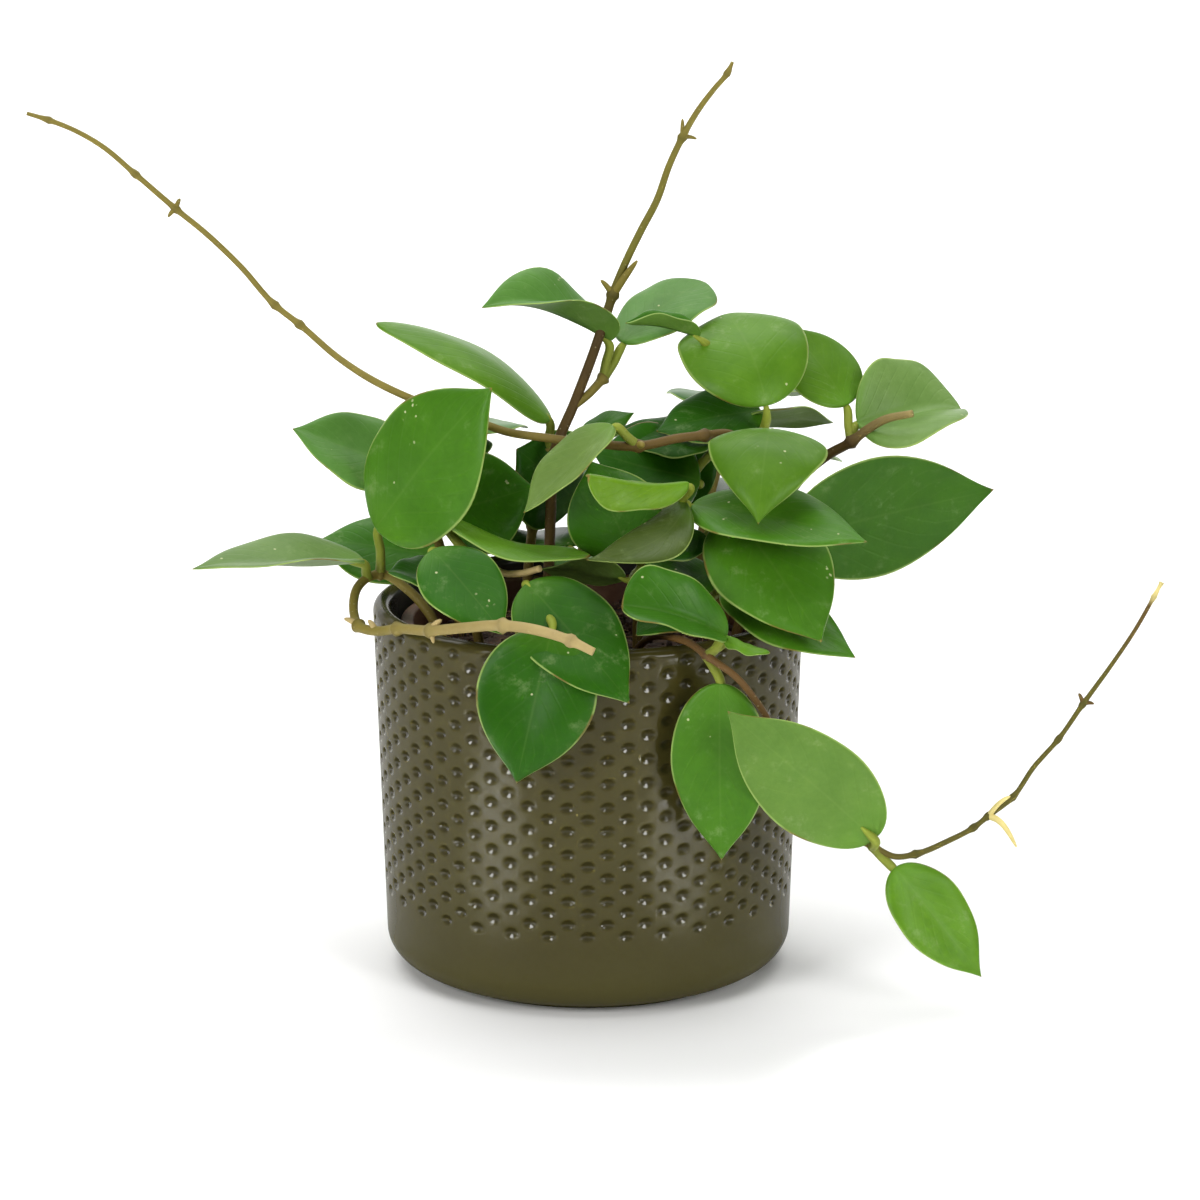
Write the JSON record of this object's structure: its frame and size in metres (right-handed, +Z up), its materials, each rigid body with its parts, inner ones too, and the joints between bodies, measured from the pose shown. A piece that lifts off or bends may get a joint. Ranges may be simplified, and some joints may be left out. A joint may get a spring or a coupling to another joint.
{
  "type": "potted hoya plant",
  "caption": "Potted plant with oval waxy leaves on trailing stems and long bare vine tips, in a dimpled ceramic cover pot that stands on a flat foot.",
  "frame": {"origin": "centre of the cover pot's flat underside", "axes": "+Z up, -Y towards the front that the picture shows, +X to the right of the front, along the spread of the two bare vine tips"},
  "size_m": [0.3662, 0.2053, 0.2978],
  "materials": {
    "pot": "dark olive satin glaze with rows of round dimples",
    "nursery_pot": "thin brown plastic",
    "soil": "dark brown peat with coarse fibres; wood stands in for peat",
    "plant": "waxy green leaves with pale margins on olive-brown stems; leather stands in for fleshy leaf tissue"
  },
  "bodies": {
    "root": {"pot": "pot", "nursery_pot": "nursery_pot", "soil": "soil", "vine_left": "plant", "stem_upright": "plant", "stem_trailing": "plant", "stem_curl": "plant", "stem_right": "plant", "stem_right_front": "plant", "stem_front": "plant", "stem_left_front": "plant", "stem_left": "plant", "stem_left_middle": "plant", "stem_middle": "plant", "stem_centre": "plant", "stem_back_right": "plant", "stem_back_left": "plant", "stem_back_middle": "plant", "stem_back_far_right": "plant"}
  },
  "joints": []
}
